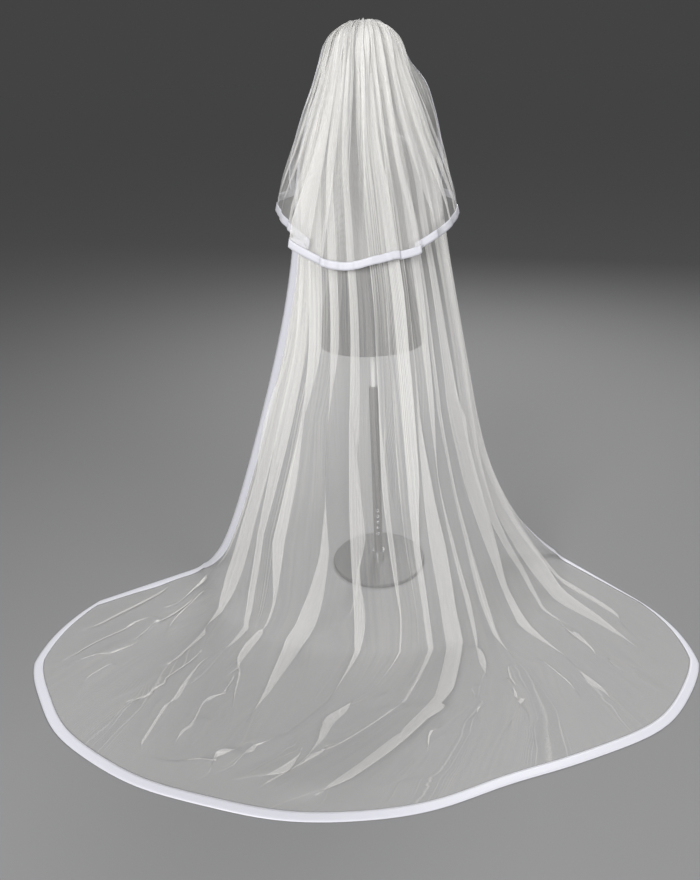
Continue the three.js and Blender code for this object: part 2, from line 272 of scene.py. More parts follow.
# lower tier, ring by ring from the comb to the floor, in mm and degrees: heights at the back and the front
# edges, half axes, middle, half the angle it spans, how far it turns, and the size of pleats and gathers
lowerRings = rowsOf(
    "back edge half depth centreX centreY sweep shift turn fold lap fine",
    (1668.6, 1658.6, 45, 4, 0, -2, 90, 0, 0, 2, 0, 1),
    (1667, 1644, 66, 44, 0, -2, 90, 0, 0, 2.2, 1.5, 2.4),
    (1650, 1614, 87, 80, 0, 0, 90, 0, 0, 3.2, 4, 2.2),
    (1610, 1572, 103, 100, 0, 2, 90, 0, 0, 3.8, 7, 2),
    (1555, 1528, 121, 110, 0, 6, 90, 1, 0, 4, 9, 1.8),
    (1475, 1465, 149, 126, 0, 12, 90, 2, 0, 4.5, 12, 1.6),
    (1380, 1380, 178, 146, 0, 20, 92, 4, 0, 5, 15, 1.4),
    (1280, 1280, 199, 166, 0, 22, 93, 7, 0, 7, 19, 1.2),
    (1160, 1160, 214, 182, 0, 22, 93, 10, 0, 9, 22, 1),
    (1020, 1020, 239, 206, -2, 22, 93, 13, 0, 10, 25, 0.9),
    (870, 870, 272, 234, -8, 22, 93, 15, -0.5, 11, 28, 0.8),
    (710, 710, 311, 268, -18, 22, 93, 16, -1, 12, 31, 0.7),
    (550, 550, 352, 302, -29, 24, 93, 16, -1.5, 12, 35, 0.7),
    (395, 395, 398, 336, -35, 22, 93, 15, -2, 12, 39, 0.7),
    (245, 245, 456, 370, -30, 16, 93, 13, -2.5, 12, 44, 0.7),
    (120, 120, 520, 400, -18, 6, 93, 10, -3, 10, 48, 0.7),
    (42, 42, 578, 425, -8, -8, 93, 7, -3.5, 7, 49, 0.5),
    (0, 0, 622, 460, 0, -20, 93, 4, -4, 4.5, 47, 0.4),
)
trainHem = {
    "half": 995,
    "depth": 640,
    "centreX": -82,
    "centreY": -400,
    "sweep": 108,
    "turn": -4,
    "pinch": 0.07,  # how far the outline draws in at the ends
    "pinchStart": 80,
    "dent": 0.095,  # and how far right of the middle
    "dentAngle": 31,
    "dentSpread": 24,
    "wobble": rowsOf("waves size start", (4.6, 0.004, 0.2), (9.7, 0.0025, 0.7)),  # how unevenly it was laid
    "wobbleEnds": (0.7, 0.92),
}
# pleats: places across the sheet from the comb down to the hem, and lean
lowerFolds = rowsOf(
    "comb neck waist hip thigh knee calf foot train far hem lean",
    (0.04, 0.03, 0.03, 0.035, 0.04, 0.04, 0.045, 0.05, 0.06, 0.065, 0.07, -0.6),
    (0.11, 0.08, 0.085, 0.092, 0.1, 0.105, 0.135, 0.19, 0.23, 0.26, 0.28, -0.9),
    (0.175, 0.12, 0.157, 0.145, 0.14, 0.14, 0.178, 0.23, 0.26, 0.28, 0.295, -1),
    (0.225, 0.185, 0.218, 0.206, 0.223, 0.23, 0.262, 0.275, 0.3, 0.315, 0.32, -1),
    (0.295, 0.28, 0.302, 0.313, 0.332, 0.36, 0.352, 0.355, 0.372, 0.375, 0.335, -1),
    (0.37, 0.368, 0.382, 0.392, 0.411, 0.43, 0.452, 0.475, 0.46, 0.405, 0.355, -0.9),
    (0.45, 0.452, 0.455, 0.467, 0.485, 0.508, 0.53, 0.535, 0.49, 0.425, 0.37, -0.8),
    (0.525, 0.51, 0.515, 0.527, 0.541, 0.545, 0.56, 0.572, 0.53, 0.44, 0.385, 0.8),
    (0.575, 0.568, 0.565, 0.568, 0.58, 0.59, 0.594, 0.605, 0.575, 0.497, 0.43, 0.7),
    (0.62, 0.63, 0.617, 0.615, 0.618, 0.634, 0.65, 0.65, 0.63, 0.572, 0.52, 0.8),
    (0.67, 0.66, 0.652, 0.652, 0.662, 0.675, 0.685, 0.69, 0.695, 0.68, 0.65, 1),
    (0.725, 0.7, 0.694, 0.7, 0.733, 0.744, 0.728, 0.738, 0.765, 0.77, 0.77, 1),
    (0.78, 0.815, 0.805, 0.787, 0.79, 0.796, 0.822, 0.81, 0.825, 0.83, 0.83, 1),
    (0.83, 0.865, 0.855, 0.845, 0.845, 0.85, 0.867, 0.86, 0.87, 0.868, 0.865, 1),
    (0.89, 0.91, 0.9, 0.895, 0.895, 0.9, 0.91, 0.905, 0.9, 0.897, 0.895, 0.9),
    (0.95, 0.955, 0.95, 0.95, 0.95, 0.95, 0.955, 0.95, 0.95, 0.95, 0.95, 0.6),
)
# how full each pleat stands on the way down. The folds come and go, so few run the whole way.
lowerFullness = rowsOf(
    "neck waist hip thigh knee calf foot train far",
    (0.6, 0.6, 0.6, 0.6, 0.6, 0.6, 0.5, 0.1, 0),
    (0.5, 0.8, 1.0, 1.0, 1.1, 1.4, 1.5, 0.35, 0),
    (1.0, 1.0, 0.9, 0.6, 0.25, 0.15, 0.15, 0, 0),
    (1.1, 0.9, 0.25, 0.9, 1.1, 0.6, 0.4, 0.1, 0),
    (0.9, 0.8, 0.55, 0.3, 1.0, 1.3, 1.4, 0.9, 0.1),
    (1.0, 1.05, 1.1, 1.15, 1.15, 1.05, 1.0, 0.5, 0.2),
    (0.2, 0.15, 0.35, 0.75, 0.75, 0.45, 0.4, 0.1, 0),
    (1.4, 1.3, 1.15, 0.9, 0.35, 0.2, 0.2, 0, 0),
    (0.2, 0.2, 0.4, 0.8, 1.2, 1.3, 1.5, 1.9, 2.6),
    (0.8, 0.6, 0.5, 0.2, 0.45, 0.45, 0.5, 0.2, 0),
    (0.15, 0.15, 0.15, 0.2, 0.3, 0.4, 0.35, 0.1, 0),
    (0.8, 0.9, 1.0, 1.0, 0.9, 0.8, 1.0, 0.5, 0.05),
    (1.0, 1.0, 0.9, 0.8, 0.5, 0.2, 0.2, 0.05, 0),
    (0.7, 0.7, 0.8, 1.0, 1.1, 1.2, 1.2, 0.7, 0.2),
    (0.7, 0.7, 0.8, 0.8, 0.8, 0.6, 0.5, 0.3, 0.1),
    (0.6, 0.6, 0.6, 0.6, 0.6, 0.5, 0.4, 0.1, 0),
)
# the rings at which those columns hold
stations = dict(comb=0, neck=8.4, waist=10.1, hip=11.3, thigh=12.45, knee=13.8, calf=15.3)
stations.update(foot=17, train=17.35, far=17.7, hem=18)
# how close the gathers lie from the left front edge to the right one, and how close on the head
lowerCloseness = rowsOf(
    "share close",
    *((0, 1), (0.12, 1.3), (0.27, 1.2), (0.36, 0.9), (0.44, 1.25)),
    *((0.56, 1.3), (0.63, 0.7), (0.72, 0.65), (0.8, 1), (1, 1)),
)
headCloseness = rowsOf(
    "share close",
    *((0, 1), (0.2, 1.2), (0.31, 1.3), (0.36, 0.8), (0.385, 0.9), (0.405, 0.35), (0.435, 0.4), (0.455, 1.5)),
    *((0.49, 1.5), (0.52, 0.7), (0.57, 1), (0.62, 0.4), (0.7, 0.35), (0.77, 0.75), (1, 1)),
)
lowerSet = {
    "rings": lowerRings,
    "hem": trainHem,
    "folds": lowerFolds,
    "fullness": lowerFullness,
    "onFloor": True,
    "ribbon": 28,
    "closeness": lowerCloseness,
    "headCloseness": headCloseness,
    "columns": (20, 140, 28, 32, 40, 36, 36, 32, 40, 44, 60, 56, 40, 32, 32, 32, 20),  # from crest to crest
    "rows": rowsOf("start end count", (0, 3, 12), (3, 17, 44), (17, 18, 74)),  # by ring
    "cutWidth": 2.1,
    "cutLength": 2.66,
    "cutRound": 1,  # the low end's depth as a share of a half circle's
}

# upper tier
upperRings = rowsOf(
    "back edge half depth centreY sweep front fold lap flare fine",
    (1674.1, 1664.1, 45, 4, -2, 90, 4, 2, 0, 0, 1),
    (1678, 1656, 71, 54, -2, 90, 40, 2.2, 1.5, 0, 2.4),
    (1664, 1628, 99, 94, 0, 90, 60, 3.2, 4, 0, 2.4),
    (1622, 1582, 117, 116, 3, 90, 70, 3.8, 7, 4, 2.3),
    (1560, 1530, 137, 128, 8, 94, 80, 4, 9, 28, 2.2),
    (1470, 1466, 166, 146, 14, 100, 90, 4.5, 12, 24, 2),
    (1372, 1388, 198, 168, 22, 108, 100, 5, 16, 14, 1.8),
    (1274, 1332, 225, 192, 25, 117, 108, 7, 20, 4, 1.6),
    (1174, 1294, 246, 212, 26, 125, 112, 9, 24, 0, 0.6),
)
upperHem = {"back": 1082, "edge": 1262, "half": 258, "depth": 226, "centreY": 26, "sweep": 130, "front": 114}
upperFolds = rowsOf(
    "place topFull hemFull lean",
    (0.045, 0.6, 0.3, -0.5),
    (0.115, 0.8, 0.3, -0.7),
    (0.18, 0.9, 0.3, -0.9),
    (0.24, 0.9, 0.5, -1),
    (0.295, 1.3, 2.0, -1),
    (0.365, 0.7, 0.1, -0.6),
    (0.43, 0.8, 0.08, -0.4),
    (0.5, 1.1, 0.08, -0.5),
    (0.56, 0.7, 0.1, 0.4),
    (0.615, 1.0, 1.1, 0.8),
    (0.69, 1.3, 0.4, 1),
    (0.77, 0.9, 0.4, 1),
    (0.83, 0.9, 0.3, 0.9),
    (0.89, 0.8, 0.3, 0.7),
    (0.955, 0.6, 0.3, 0.5),
)
# how far the upper hem hangs above or below its line, by pleat number
upperHemLine = rowsOf(
    "pleat rise",
    *((-0.5, -20), (0, -15), (1, 6), (2, 17), (3, 24), (3.5, 19), (4, -12), (5, -11), (6, -1), (7, 20)),
    *((8, 26), (9, 14), (9.5, 24), (10, 24), (11, 8), (12, -5), (13, -30), (14.5, -35)),
)
upperCloseness = rowsOf(
    "share close",
    *((0, 1), (0.2, 1.1), (0.3, 1.35), (0.345, 1.2), (0.365, 0.75), (0.39, 1.15), (0.42, 1), (0.445, 0.5)),
    *((0.475, 1.4), (0.505, 1.4), (0.53, 0.7), (0.56, 1), (0.6, 0.65), (0.64, 0.45), (0.68, 0.55)),
    *((0.75, 0.9), (1, 1)),
)
upperSet = {
    "rings": upperRings,
    "hem": upperHem,
    "folds": upperFolds,
    "fullRings": (5, 8.6),  # between these the pleats go from their full size at the top to that at the hem
    "onFloor": False,
    "ribbon": 22,
    "closeness": upperCloseness,
    "columns": (17, *[34] * 14, 17),
    "rows": rowsOf("start end count", (0, 3, 24), (3, 8, 70), (8, 9, 14)),
    "cutWidth": 1.15,
    "cutLength": 0.66,
    "cutRound": 0.45,
    "flareStart": 0.86,
    "hemBegins": 5.8,  # the ring below which the hem's rise and fall sets in
    "hemSmooth": 11,  # columns that its rise and fall is evened out over
}
clothSet = {
    "ringPoints": 481,
    "wallHalf": 0.6,
    "seamGap": 0.3,
    "ribbonWall": 0.9,
    "ribbonSteps": 4,
    "widestRibbonShare": 0.1,  # of a gathered row, where the ribbon is gathered too
    "flatBelow": (2, 60),  # the heights between which cloth goes from lying to hanging
    "edgeOn": 0.25,  # how thin a fold's edge is seen, at the least
    "layers": (1, 16),
}
ringSides = np.linspace(-1, 1, clothSet["ringPoints"])
ribbonSteps = clothSet["ribbonSteps"]


def ringLine(ring):  # a ring's points from the left front edge to the right one
    angle = ring["sweep"] * ringSides + ring.get("shift", 0)
    out = np.ones_like(angle)
    if "dent" in ring:
        past = np.maximum(0, np.abs(angle) - ring["pinchStart"]) / (ring["sweep"] - ring["pinchStart"])
        out -= ring["pinch"] * past
        out -= ring["dent"] * np.exp(-(((angle - ring["dentAngle"]) / ring["dentSpread"]) ** 2))
        inside = 1 - ease(np.abs(ringSides), *ring["wobbleEnds"])
        for row in ring["wobble"]:
            out += row["size"] * np.sin(2 * np.pi * (row["waves"] * ringSides / 2 + row["start"])) * inside
    turned = np.radians(angle)
    depth = np.where(np.abs(angle) < 90, ring["depth"], ring.get("front", ring["depth"]))
    x = ring["half"] * out * np.sin(turned)
    y = -depth * out * np.cos(turned)
    top, side = ring.get("back", 0), ring.get("edge", 0)
    z = top + (side - top) * np.sin(ringSides * np.pi / 2) ** 2
    twist = math.radians(ring.get("turn", 0))
    points = [x * math.cos(twist) - y * math.sin(twist), x * math.sin(twist) + y * math.cos(twist), z]
    return np.stack(points, 1) + (ring.get("centreX", 0), ring["centreY"], 0)


def lengths(points):  # the way passed along a line at each of its points
    steps = np.linalg.norm(np.diff(points, axis=0), axis=1)
    return np.concatenate([[0], np.cumsum(steps)])


def rowSpans(grid):  # the length of each row
    return np.linalg.norm(np.diff(grid, axis=1), axis=2).sum(axis=1)[:, None]


def alongLine(points, shares):
    passed = lengths(points)
    return np.stack([np.interp(shares * passed[-1], passed, points[:, k]) for k in range(3)], 1)


def ringAt(rings, v):
    return {name: float(through(columnOf(rings, name), np.array([v]))[0]) for name in rings[0]}


def atStations(rows, v):  # each pleat's value at ring v, from its columns down the sheet
    names = [name for name in stations if name in rows[0]]
    down = [stations[name] for name in names]
    return np.array([np.interp(v, down, [row[name] for name in names]) for row in rows])


def pleatNumbers(cut):  # a whole number is a crest
    count = len(cut["folds"])
    crests = np.concatenate([[-0.5], np.arange(count), [count - 0.5]])
    steps = [np.linspace(a, b, n, endpoint=False) for a, b, n in zip(crests, crests[1:], cut["columns"])]
    return np.concatenate([*steps, crests[-1:]])


def pleatPlaces(cut, v):
    folds, pleat = cut["folds"], pleatNumbers(cut)
    near = np.clip(np.floor(pleat).astype(int), -1, len(folds) - 1)
    place = atStations(folds, v) if cut["onFloor"] else columnOf(folds, "place")
    padded = np.concatenate([[-place[0]], place, [2 - place[-1]]])
    places = padded[near + 1] + (padded[near + 2] - padded[near + 1]) * (pleat - near)
    even = (pleat + 0.5) / len(folds)
    return even + (places - even) * min(1, v)


def mixed(values, pleat):  # a pleat's value, eased from one pleat to the next
    near = np.clip(np.floor(pleat).astype(int), 0, len(values) - 1)
    there = np.minimum(near + 1, len(values) - 1)
    return values[near] + (values[there] - values[near]) * ease(pleat - near, 0, 1)


def sheetRows(cut):  # the sheet before it is pleated: rows from the comb to the hem, columns across
    rings, hem = cut["rings"], ringLine(cut["hem"])
    last = len(rings) - 1
    inRibbon = np.arange(ribbonSteps) / ribbonSteps

    def sharesOf(line, v):
        edge = min(clothSet["widestRibbonShare"], cut["ribbon"] / lengths(line)[-1])
        inside = edge + (1 - 2 * edge) * pleatPlaces(cut, v)
        return np.concatenate([edge * inRibbon, inside, 1 - edge * inRibbon[::-1]])

    spans = [np.linspace(r["start"], r["end"], r["count"], endpoint=False) for r in cut["rows"]]
    inner = np.concatenate(spans)
    toHem = np.linspace(last + 1, last + 2, ribbonSteps + 1)
    points, shares, v = [], [], []
    for at in np.concatenate([inner, toHem]):
        line = ringLine(ringAt(rings, min(at, last)))
        share = sharesOf(line, min(at, last + 1))
        row = alongLine(line, share)
        if at > last:
            goal = alongLine(hem, share)
            ribbonLine = 1 - cut["ribbon"] / np.linalg.norm(goal - row, axis=1, keepdims=True)
            part = ribbonLine * min(1, at - last) + (1 - ribbonLine) * max(0, at - last - 1)
            row = row + (goal - row) * part
        points.append(row)
        shares.append(share)
        v.append(min(at, last + 1))
    pleat = pleatNumbers(cut)
    ends = np.full(ribbonSteps, pleat[0]), np.full(ribbonSteps, pleat[-1])
    return {
        "base": np.stack(points),
        "share": np.stack(shares),
        "v": np.array(v)[:, None],
        "pleat": np.concatenate([ends[0], pleat, ends[1]])[None, :],
        "crossed": np.maximum(0, np.array(v)[:, None] - last) * cut["onFloor"],
    }


trainEnds = (0.84, 0.97)  # the shares of the train between which pleats and creases die out


def pleatDepth(cut, sheet):  # how full each pleat stands at each point
    folds, v, pleat = cut["folds"], sheet["v"], sheet["pleat"]
    if cut["onFloor"]:
        depth = np.concatenate([mixed(atStations(cut["fullness"], at), pleat) for at in v[:, 0]])
        depth = depth * (1 - ease(sheet["crossed"], *trainEnds))
    else:
        top, low = (mixed(columnOf(folds, name), pleat) for name in ("topFull", "hemFull"))
        depth = top + (low - top) * ease(v, *cut["fullRings"])
    begun = ease(v, 0, 1)
    return 1 - begun + begun * depth


# finer gathers between the pleats: turns for each pleat, and drift for each ring
gatherWaves = rowsOf("turns drift", (2.3, 0.11), (3.7, -0.17), (5.3, 0.23))
gatherSet = {
    "lean": 2.2,
    "even": 0.6,
    "swell": 0.4,
    "swellTurns": 0.37,
    "swellDrift": 0.13,
    "ends": (14.5, 17),  # the rings between which they die out
}


def gathers(sheet):
    g, v, pleat = gatherSet, sheet["v"], sheet["pleat"]
    sway = 0
    for k, row in enumerate(gatherWaves):
        start, swell = chance.uniform(0, 1, 2)
        wave = np.sin(2 * np.pi * (row["turns"] * pleat + row["drift"] * v + start))
        turn = g["swellTurns"] * pleat + g["swellDrift"] * v * (k + 1) + swell
        strength = g["even"] + g["swell"] * np.sin(2 * np.pi * turn)
        sway = sway + wave * strength / (k + 1)
    return sway * ease(v, 0, 1) * (1 - ease(v, *g["ends"]))


# leaning creases. A ridge that leans far enough lies over on its neighbour in a band of three layers.
def bandShift(lean):  # how far the visible band lies from the ridge's root, in widths
    away = np.linspace(0, 3, 600)  # far enough out, in fine steps
    moved = away + abs(lean) * bell(away)
    back = np.diff(moved) < 0
    if not back.any():
        return abs(lean)
    return (moved[:-1][back].max() + moved[:-1][back].min()) / 2


def pathLine(points, steps=36):
    points = np.asarray(points, float)
    at = np.linspace(0, len(points) - 1, steps)
    return np.stack([through(points[:, 0], at), through(points[:, 1], at)], 1)


fallSet = {
    "grows": 0.25,  # the share of its length in which a crease grows
    "fades": 0.55,  # and the one from which it fades
    "clear": (5, 8),  # the widths to either side that stay clear of fine creases
    "past": 0.1,  # and the share past its ends
    "pleats": (0.05, 0.4),  # fullness of pleats that stay clear of them too
}
# creases that fall down the standing cloth, by share across and height, and run out over the floor, in plan
fallCreases = rowsOf(
    "stand floor width height lean",
    ((), ((-500, -350), (-585, -523), (-619, -654), (-659, -789)), 8, 6, -3.4),
    (((0.2, 60),), ((-400, -380), (-435, -553), (-465, -768)), 8, 6, -3.3),
    (((0.374, 335), (0.385, 160)), ((-215, -400), (-240, -490), (-266, -600)), 9, 7, -4),
    ((), ((-100, -580), (-124, -650), (-190, -775), (-262, -850), (-340, -902)), 8, 6, -3.6),
    ((), ((-140, -670), (-173, -769), (-210, -892)), 7, 5, -3.2),
    ((), ((72, -644), (64, -740), (57, -847)), 8, 6, 3.2),
    ((), ((232, -420), (249, -464), (272, -530), (303, -602)), 8, 6, 3.2),
    ((), ((432, -480), (501, -634), (547, -711)), 9, 6, 3.1),
    (((0.9, 80),), ((667, -280), (730, -400), (789, -503)), 8, 6, 3.4),
    (((0.367, 790), (0.366, 536), (0.374, 320)), (), 3.5, 4, -4.4),
    (((0.301, 1063), (0.315, 866), (0.321, 699), (0.336, 530)), (), 3.5, 4, -4.4),
    (((0.625, 1031), (0.61, 847), (0.608, 654), (0.606, 550)), (), 3.5, 4, 4.4),
    (((0.626, 330), (0.635, 182), (0.652, 95)), (), 4, 4, 4.2),
    (((0.466, 760), (0.478, 542), (0.497, 400), (0.512, 238)), (), 4, 5, -4.4),
    (((0.7, 700), (0.722, 480), (0.75, 300)), (), 4, 4, 4.2),
    (((0.085, 820), (0.1, 560), (0.09, 320)), (), 4, 4, -4.2),
    (((0.87, 900), (0.865, 640), (0.88, 380)), (), 4, 4, 4.2),
)


def fallLine(row, sheet, rings):  # share across by ring down the sheet
    spots = []
    for share, height in row["stand"]:
        spots.append((share, np.interp(-height, -columnOf(rings, "back"), np.arange(len(rings)))))
    onTrain = np.nonzero(sheet["crossed"][:, 0] > 0)[0]
    for place in row["floor"]:
        far = np.linalg.norm(sheet["base"][onTrain][..., :2] - place, axis=2)
        i, j = np.unravel_index(far.argmin(), far.shape)
        spots.append((sheet["share"][onTrain[i], j], sheet["v"][onTrain[i], 0]))
    line = pathLine(spots)
    return line[np.argsort(line[:, 1])]


def fallingCreases(sheet, rings):  # moves sideways and out
    f, v, base = fallSet, sheet["v"], sheet["base"]
    side, lift, busy = (np.zeros(base.shape[:2]) for _ in range(3))
    span = rowSpans(base)
    down = lengths(base[:, base.shape[1] // 2])[:, None]
    for row in fallCreases:
        line = fallLine(row, sheet, rings)
        first, last = np.interp(line[[0, -1], 1], v[:, 0], down[:, 0])
        passed = (down - first) / (last - first)
        shift = np.sign(row["lean"]) * bandShift(row["lean"]) * row["width"]
        root = np.interp(v, line[:, 1], line[:, 0]) * span - shift
        away = (sheet["share"] * span - root) / row["width"]
        strength = ease(passed, 0, f["grows"]) * (1 - ease(passed, f["fades"], 1))
        side += row["lean"] * row["width"] * strength * bell(away)
        lift += row["height"] * strength * bell(away)
        along = ease(passed, -f["past"], 0) * (1 - ease(passed, 1, 1 + f["past"]))
        busy = np.maximum(busy, along * (1 - ease(np.abs(away), *f["clear"])))
    sheet["busy"] = np.maximum(busy, ease(sheet["depth"], *f["pleats"]))
    return side, lift


# creases that fan out over the left of the train or lie across it, in plan
floorCreases = rowsOf(
    "path width height lean fades",
    (((-628, 67), (-718, -37), (-804, -128), (-908, -218), (-1003, -308)), 12, 7, 3.8, 0.8),
    (((-600, -40), (-653, -112), (-694, -169), (-740, -215)), 9, 5, 3.4, 0.7),
    (((-785, -252), (-902, -327), (-970, -390), (-1010, -450)), 9, 5, 3.2, 0.7),
    (((-624, -135), (-687, -209), (-752, -291), (-811, -345), (-860, -398)), 9, 5, 3.6, 0.6),
    (((-570, -150), (-607, -189), (-659, -273), (-687, -377)), 9, 5, -2.8, 0.7),
    (((-527, -411), (-602, -465), (-685, -536), (-757, -599), (-801, -647)), 9, 5, 3, 0.6),
    (((-560, -330), (-596, -361), (-674, -444), (-700, -480)), 12, 5, 2.4, 0.6),
    (((-600, -610), (-641, -749), (-660, -800)), 9, 5, -2.8, 0.6),
    (((-665, -820), (-569, -849), (-417, -835), (-317, -801)), 9, 5, 2.8, 0.6),
    (((-76, -965), (22, -949), (174, -915)), 14, 6, 2.2, 0.5),
)
# and fine ones strewn over the rest of it
fineCreases = {
    "count": 110,
    "across": (0.08, 0.92),  # shares of the columns
    "start": (0.05, 0.8),  # shares of the train's rows
    "lastRows": 6,  # those of the ribbon and next to it, which stay clear
    "length": (60, 230),
    "bend": 0.35,
    "stray": 8,
    "width": (7, 12),
    "height": (2, 5),
    "lean": 2.8,
    "leanShare": (0.3, 1.1),
    "fades": 0.45,
}
creaseSet = {
    "reach": 4,  # in widths
    "grows": 0.18,  # the share of its length in which a crease grows
    "edgeClear": (30, 55),  # mm from the front edges in which it dies out
    "least": 0.01,  # a weaker share of a crease is left out
}


def nearLine(spots, line):  # distance from a line, the share of it passed, and its left side there
    best = np.full(len(spots), np.inf)
    passed, turned = np.zeros(len(spots)), np.zeros((len(spots), 2))
    for k in range(len(line) - 1):
        step = line[k + 1] - line[k]
        t = np.clip((spots - line[k]) @ step / (step @ step), 0, 1)
        far = np.linalg.norm(spots - line[k] - t[:, None] * step, axis=1)
        nearer = far < best
        best[nearer] = far[nearer]
        passed[nearer] = (k + t[nearer]) / (len(line) - 1)
        turned[nearer] = unit(np.array([-step[1], step[0]]))
    return best, passed, turned


def addCrease(sheet, weight, row):
    line, reach = pathLine(row["path"]), creaseSet["reach"] * row["width"]
    base, moved = sheet["base"][..., :2], sheet["moved"]
    close = ((base > line.min(axis=0) - reach) & (base < line.max(axis=0) + reach)).all(axis=-1)
    close &= weight > creaseSet["least"]
    if not close.any():
        return
    far, passed, turned = nearLine(base[close], line)
    strength = ease(passed, 0, creaseSet["grows"]) * (1 - ease(passed, row["fades"], 1))
    strength = strength * bell(far / row["width"]) * weight[close]
    moved[close, :2] += turned * (row["lean"] * row["width"] * strength)[:, None]
    moved[close, 2] += row["height"] * strength


def creaseTrain(sheet):
    base, crossed = sheet["base"], sheet["crossed"]
    fromEdge = np.minimum(sheet["share"], 1 - sheet["share"]) * rowSpans(base)
    weight = sheet["flat"] * (1 - ease(crossed, *trainEnds)) * ease(fromEdge, *creaseSet["edgeClear"])
    calm = weight * (1 - sheet["busy"])
    sheet["moved"] = np.zeros_like(base)
    onTrain = np.nonzero(crossed[:, 0] > 0)[0]
    f = fineCreases
    for _ in range(f["count"]):
        column = int(chance.uniform(*f["across"]) * base.shape[1])
        start = base[onTrain[int(chance.uniform(*f["start"]) * (len(onTrain) - f["lastRows"]))], column, :2]
        x, y = unit(base[-1, column, :2] - start)
        bend = chance.uniform(-f["bend"], f["bend"])
        ahead = np.array([x - bend * y, y + bend * x]) * chance.uniform(*f["length"])
        middle = start + ahead / 2 + chance.uniform(-f["stray"], f["stray"], 2)
        lean = f["lean"] * chance.choice((-1, 1)) * chance.uniform(*f["leanShare"])
        width, height = chance.uniform(*f["width"]), chance.uniform(*f["height"])
        fine = {"path": (start, middle, start + ahead), "width": width, "height": height}
        addCrease(sheet, calm, {**fine, "lean": lean, "fades": f["fades"]})
    for row in floorCreases:
        addCrease(sheet, weight, row)
    sheet["grid"] += sheet["moved"]
    sheet["grid"][..., 2] = np.maximum(sheet["grid"][..., 2], clothSet["wallHalf"])


footSet = {"soft": 45, "rings": (13, 15)}  # how gradually the cloth comes down on the floor
leftTurn = {"in": 17, "fades": 130, "begins": (7, 9), "ends": (15, 17)}  # turns the left ribbon to the back


def softenFoot(sheet):
    base = sheet["base"]
    down = lengths(base[:, base.shape[1] // 2])
    height = base[:, base.shape[1] // 2, 2]
    near = bell((down[:, None] - down[None, :]) / footSet["soft"]) * np.gradient(down)[None, :]
    soft = near @ height / near.sum(axis=1)
    base[..., 2] += ((soft - height) * ease(sheet["v"][:, 0], *footSet["rings"]))[:, None]


def turnLeftEdge(sheet):  # the way in at each point
    t, ribbon = leftTurn, lowerSet["ribbon"]
    v, base = sheet["v"], sheet["base"]
    along = np.linalg.norm(np.diff(base, axis=1, prepend=base[:, :1]), axis=2).cumsum(axis=1)
    inward = ease(along, 0, ribbon) * (1 - ease(along, ribbon, t["fades"]))
    return t["in"] * inward * ease(v, *t["begins"]) * (1 - ease(v, *t["ends"]))


def drapeTier(cut):
    sheet = sheetRows(cut)
    if cut["onFloor"]:
        softenFoot(sheet)
    base, v, pleat = sheet["base"], sheet["v"], sheet["pleat"]
    rings, count = cut["rings"], len(cut["folds"])
    ringV = np.minimum(v, len(rings) - 1)
    fold, lap, fine = (through(columnOf(rings, name), ringV) for name in ("fold", "lap", "fine"))
    sheet["flat"] = (1 - ease(base[..., 2], *clothSet["flatBelow"])) * cut["onFloor"]
    inside = ease(pleat, -0.5, 0) * (1 - ease(pleat, count - 1, count - 0.5))
    sheet["depth"] = depth = inside * pleatDepth(cut, sheet)
    sway = inside * fine * gathers(sheet)
    wave = np.cos(2 * np.pi * pleat)
    lift = fold * depth * (wave + sheet["flat"]) + sway
    side = lap * depth * mixed(columnOf(cut["folds"], "lean"), pleat) * wave + gatherSet["lean"] * sway
    if cut["onFloor"]:
        creased = fallingCreases(sheet, rings)
        side, lift = side + creased[0], lift + creased[1] - turnLeftEdge(sheet)
    flat = sheet["flat"][..., None]
    outward = unit(gridNormals(base) * (1 - flat) + np.array([0, 0, 1]) * flat)
    along = unit(np.gradient(base, axis=1))
    sheet["grid"] = base + outward * lift[..., None] + along * side[..., None]
    if "flareStart" in cut:
        across = np.linspace(0, 1, base.shape[1])[None, :]
        standOff = np.maximum(0, across - cut["flareStart"]) / (1 - cut["flareStart"])
        sheet["grid"][..., 0] += through(columnOf(rings, "flare"), ringV) * standOff**2
        rise = np.interp(pleat[0], columnOf(upperHemLine, "pleat"), columnOf(upperHemLine, "rise"))
        over = cut["hemSmooth"]
        rise = np.convolve(np.pad(rise, over // 2, "edge"), np.full(over, 1 / over), "valid")
        sheet["grid"][..., 2] += rise * ease(v, cut["hemBegins"], len(rings))
    return sheet


def cutMap(grid, cut):  # where each point lay on the flat cut, in metres
    share = lengths(grid[len(grid) // 2])
    down = lengths(grid[:, grid.shape[1] // 2]) * mm
    across = share[None, :] / share[-1] * cut["cutWidth"]
    return np.stack(np.broadcast_arrays(across, down[:, None]), -1)


combGather = {"more": 1.3, "rings": (1.5, 6)}  # gathers are closest by the comb
headRings = (6.5, 9.5)  # where the gathers go from how they lie on the head to how they hang


def closenessAt(table, share):
    return np.interp(share, columnOf(table, "share"), columnOf(table, "close"))


def layersOf(sheet, cut):  # close gathers put more layers in one place, and so does a fold's edge
    grid, base = sheet["grid"], sheet["base"]
    ahead = unit(np.gradient(base, axis=1))
    step = np.gradient(grid, axis=1)
    facing = np.abs((unit(step) * ahead).sum(axis=2))
    edgeOn = 1 / np.maximum(facing, clothSet["edgeOn"])
    edgeOn[:, 1:-1] = (edgeOn[:, :-2] + 2 * edgeOn[:, 1:-1] + edgeOn[:, 2:]) / 4
    hanging = closenessAt(cut["closeness"], sheet["share"])
    onHead = closenessAt(cut.get("headCloseness", cut["closeness"]), sheet["share"])
    close = onHead + (hanging - onHead) * ease(sheet["v"], *headRings)
    close = close * (1 + combGather["more"] * (1 - ease(sheet["v"], *combGather["rings"])))
    return np.clip(cut["cutWidth"] / (rowSpans(grid) * mm) * edgeOn * close, *clothSet["layers"])


